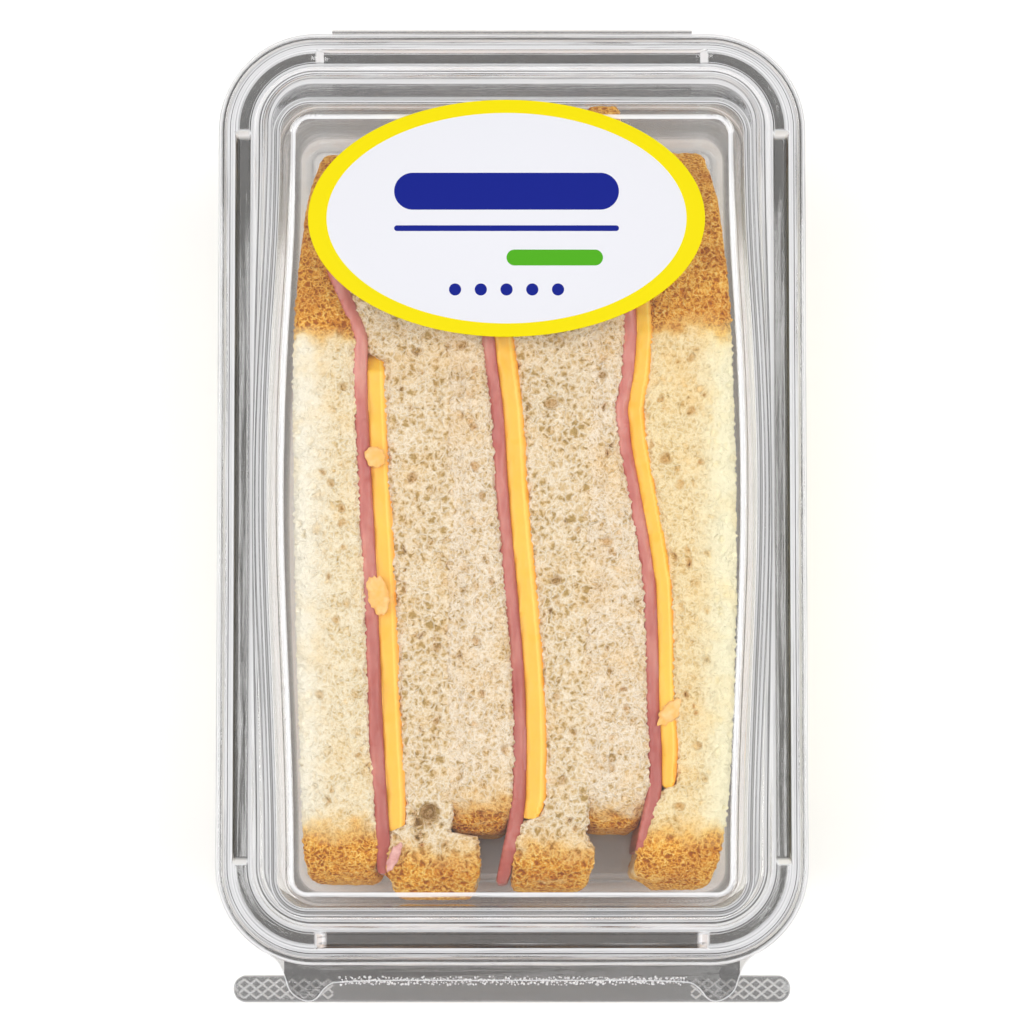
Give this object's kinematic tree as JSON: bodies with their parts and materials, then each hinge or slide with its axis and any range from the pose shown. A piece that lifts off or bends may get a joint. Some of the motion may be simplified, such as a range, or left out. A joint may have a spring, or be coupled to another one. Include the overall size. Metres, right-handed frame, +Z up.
{
  "type": "packed ham and cheese sandwich",
  "caption": "Upright ham and cheese sandwich halves, cut faces up, in a clear hinged tray with a stepped lid, opening tab and oval label.",
  "frame": {"origin": "on the floor, under the centre of the closed pack's bounding box", "axes": "+Z up towards the lid, +Y towards the hinge, +X to the right seen from the opening tab"},
  "size_m": [0.094, 0.156, 0.0606],
  "materials": {
    "clear_plastic": "clear thermoformed sheet, glossy",
    "label_paper": "coated paper, yellow border round a white field",
    "bread": "open white crumb with golden brown crust",
    "ham": "moist cooked ham",
    "cheese": "smooth sliced cheese"
  },
  "bodies": {
    "tray_body": {"tray": "clear_plastic", "bread_1": "bread", "bread_2": "bread", "bread_3": "bread", "bread_4": "bread", "bread_5": "bread", "bread_6": "bread", "ham_1": "ham", "ham_2": "ham", "ham_3": "ham", "cheese_1": "cheese", "cheese_2": "cheese", "cheese_3": "cheese"},
    "lid_body": {"lid": "clear_plastic", "label": "label_paper"}
  },
  "joints": [
    {"name": "lid_hinge", "type": "hinge", "parent": "tray_body", "child": "lid_body", "pos_m": [0, 0.0777, 0.035], "axis": [-1, 0, 0], "range_deg": [0, 180]}
  ]
}
